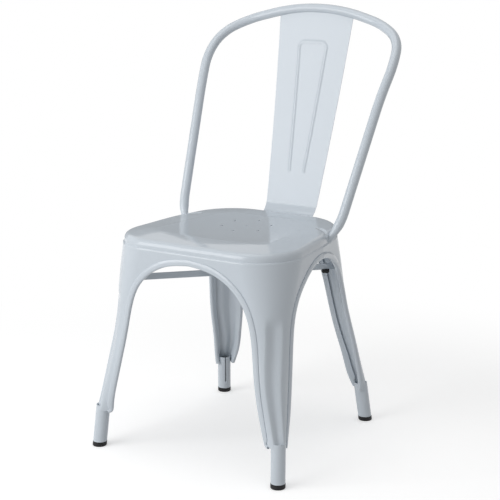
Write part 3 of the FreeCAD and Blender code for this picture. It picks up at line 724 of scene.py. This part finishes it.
profile = splat_profile(190)
run_up = unit(np.gradient(profile, axis=0))
forwards = np.c_[run_up[:, 1], -run_up[:, 0]]
share_up = (profile[:, 1] - splat_foot[1]) / (splat_side[0, 1] - splat_foot[1])
half_width = splat_narrow + (splat_wide - splat_narrow) * share_up
across = np.outer(half_width, np.linspace(-1, 1, 111))
level = np.broadcast_to(profile[:, 1:], across.shape)
depth = splat_steel + bead_height(across, level)
splat_front = np.stack([across, profile[:, :1] + forwards[:, :1] * depth,
                        level + forwards[:, 1:] * depth], -1)
splat = surface_object("splat", [(splat_front, False)], steel_paint, wall=splat_steel, flip=True)
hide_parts("back_splat")


# Cross bars. Two flat steel bars on edge run corner to corner under the seat, halved into each other
# where they cross. They carry the same paint.

for hand in ("right", "left"):
    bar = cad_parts[f"cross_bar_{hand}"]
    bar.data.materials.clear()
    bar.data.materials.append(steel_paint)


# Bumpers and foot glides. Moulded black rubber: oblong pads with rounded corners pushed on to the
# bars, on which the next chair of a stack rests, and round caps plugged into the foot tubes.

rubber = Finish(bpy.data.materials.new("black_rubber"))
grain = rubber.noise(420.0, 3.0, 0.6)
scuff = rubber.noise(60.0, 2.0)
rubber_relief = rubber.add("Bump", {}, {"Strength": 0.25, "Distance": 0.0004, "Height": grain})
rubber_tint = rubber.blend(scuff, (0.005, 0.005, 0.0055), (0.011, 0.011, 0.012))
black_rubber = rubber.show(rubber.add("BsdfPrincipled", {}, {
    "Base Color": rubber_tint, "Roughness": grain * 0.2 + 0.42, "Specular IOR Level": 0.3,
    "Normal": rubber_relief}))

glide_radius = 0.0142
glide_height = 0.010
glide_round = 0.002
plug_radius, plug_top = 0.0110, 0.016
cap_turn = np.radians(np.linspace(-90, 0, 6))
cap_heights = np.r_[0.0, glide_round * (1 + np.sin(cap_turn)),
                    np.linspace(0.0035, glide_height - 0.0008, 4), glide_height - 0.0003,
                    glide_height, glide_height, plug_top, plug_top]
cap_radii = np.r_[0.0, glide_radius - glide_round * (1 - np.cos(cap_turn)),
                  np.full(4, glide_radius), glide_radius - 0.0003,
                  glide_radius - 0.0008, plug_radius, plug_radius, 0.0]
cap_around = np.linspace(0, whole_turn, 48, endpoint=False)[None, :]
for end in ("front", "rear"):
    cap = leaning_rings(end, cap_heights, cap_radii, cap_around)
    for hand, side in (("right", 1), ("left", -1)):
        glide = surface_object(f"{end}_{hand}_glide", [(cap * (side, 1, 1), True)], black_rubber,
                               sharp=40.0, flip=side < 0)
        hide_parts(f"foot_glide_{end}_{hand}")

pad_length, pad_width = 0.015, 0.010
pad_squareness = 5
# From the middle of its foot to the middle of its top: share of the outline's reach, and height
pad_profile = np.array((
    (0.0, 0.0), (0.45, 0.0), (0.78, 0.0002), (0.92, 0.0008), (0.99, 0.0018), (1.0, 0.0030),
    (1.0, 0.0062), (0.98, 0.0072), (0.92, 0.0078), (0.6, 0.0080), (0.0, 0.0080),
))
pad_turn = np.linspace(0, whole_turn, 56, endpoint=False)
pad_round = np.c_[np.cos(pad_turn), np.sin(pad_turn)]
pad_reach = np.sum(np.abs(pad_round) ** pad_squareness, axis=1) ** (-1 / pad_squareness)
pad_ring = pad_reach[:, None] * pad_round * (pad_length / 2, pad_width / 2)
for end, way in (("front", -1), ("rear", 1)):
    for hand, side in (("right", 1), ("left", -1)):
        low, high = (np.array(corner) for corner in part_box(f"bumper_{end}_{hand}"))
        middle = (low + high) / 2
        slant = way * side * math.pi / 4
        turned = pad_ring @ np.array(((math.cos(slant), math.sin(slant)),
                                      (-math.sin(slant), math.cos(slant))))
        around = middle[:2] + pad_profile[:, :1, None] * turned
        level = np.broadcast_to(low[2] + pad_profile[:, 1:, None], (*around.shape[:2], 1))
        pad = np.concatenate([around, level], -1)
        bumper = surface_object(f"{end}_{hand}_bumper", [(pad, True)], black_rubber, sharp=50.0)
        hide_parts(f"bumper_{end}_{hand}")


# Studio. A pale floor that fades into a white room, two soft lamps, a grey card that stands behind the
# chair and is seen by reflections alone, and the camera of the photograph.

white = (1.0, 1.0, 1.0, 1.0)
floor_lift = 0.45
fade_from, fade_to = 0.55, 1.15


def flat_sheet(name, corners, material):
    """A flat stage piece with four corners."""
    mesh = bpy.data.meshes.new(name)
    mesh.from_pydata(corners, [], [(0, 1, 2, 3)])
    mesh.materials.append(material)
    return put_in_scene(name, mesh)


def seen_directly(finish):
    """1 on the rays that show a surface to the camera, straight or by way of gloss or glass."""
    rays = [finish.add("LightPath", {}, {}, f"Is {kind} Ray")
            for kind in ("Camera", "Glossy", "Transmission")]
    return finish.maths_of("MAXIMUM", finish.maths_of("MAXIMUM", rays[0], rays[1]), rays[2])


ground = Finish(bpy.data.materials.new("pale_floor"))
mottle = ground.noise(2.5, 2.0)
direct = seen_directly(ground)
away = ground.add("VectorMath", {"operation": "LENGTH"}, {0: ground.place()}, 1)
far = ground.add("MapRange", {"interpolation_type": "SMOOTHSTEP"}, {
    "Value": away + mottle * 0.05, "From Min": fade_from, "From Max": fade_to})
floor_diffuse = ground.add("BsdfDiffuse", {}, {"Color": (0.80, 0.80, 0.80, 1.0)})
floor_glow = ground.add("Emission", {}, {"Color": white, "Strength": direct * floor_lift})
near_floor = ground.add("AddShader", {}, {0: floor_diffuse, 1: floor_glow})
far_floor = ground.add("Emission", {}, {"Color": white, "Strength": 1.0})
floor_finish = ground.show(ground.add("MixShader", {}, {0: far * direct, 1: near_floor, 2: far_floor}))
floor = flat_sheet("floor", [(-8, -8, 0), (8, -8, 0), (8, 8, 0), (-8, 8, 0)], floor_finish)

world = bpy.data.worlds.new("white_room")
bpy.context.scene.world = world
room = Finish(world)
sky = room.add("Background", {}, {"Color": white, "Strength": 0.38})
backdrop = room.add("Background", {}, {"Color": white, "Strength": 1.0})
room.show(room.add("MixShader", {}, {0: seen_directly(room), 1: sky, 2: backdrop}))


def facing(place, aim):
    """The turn of a lamp or camera that stands at place and looks at aim."""
    return (Vector(aim) - Vector(place)).to_track_quat("-Z", "Y").to_euler()


def soft_lamp(name, place, aim, size, power):
    """A square lamp at place that faces aim."""
    lamp = bpy.data.lights.new(name, "AREA")
    lamp.shape = "RECTANGLE"
    lamp.size, lamp.size_y, lamp.energy = size, size, power
    holder = put_in_scene(name, lamp)
    holder.location = place
    holder.rotation_euler = facing(place, aim)


soft_lamp("left_window", (-1.5, -2.7, 1.35), (0.0, -0.1, 0.45), 2.4, 55.0)
soft_lamp("ceiling", (-0.2, -0.3, 3.3), (0.0, 0.0, 0.4), 2.2, 20.0)

card_facing, card_side = np.array((-0.53, 0.85)), np.array((0.85, 0.53))
card_distance, card_reach, card_height = 3.0, 3.0, 1.6
near_end, far_end = (card_distance * card_facing + reach * card_side
                     for reach in (-card_reach, card_reach))
card_tone = Finish(bpy.data.materials.new("card_grey"))
card_glow = card_tone.add("Emission", {}, {
    "Color": (0.30, 0.31, 0.32, 1.0), "Strength": card_tone.noise(0.8) * 0.4 + 0.8})
card = flat_sheet("grey_card", [(*near_end, 0.0), (*far_end, 0.0), (*far_end, card_height),
                                (*near_end, card_height)], card_tone.show(card_glow))
card.visible_camera = card.visible_diffuse = card.visible_shadow = card.visible_transmission = False

lens_length = 102.6
camera_place = Vector((1.4540, -2.3708, 1.0349))
camera_aim = Vector((0.0, -0.0439, 0.4190))
view = bpy.data.cameras.new("photograph_view")
view.sensor_width = 36.0
view.lens = lens_length
view.shift_x, view.shift_y = 0.0156, -0.0352
camera = put_in_scene("photograph_view", view)
camera.location = camera_place
camera.rotation_euler = facing(camera_place, camera_aim)
bpy.context.scene.camera = camera
bpy.context.scene.view_settings.view_transform = "Standard"
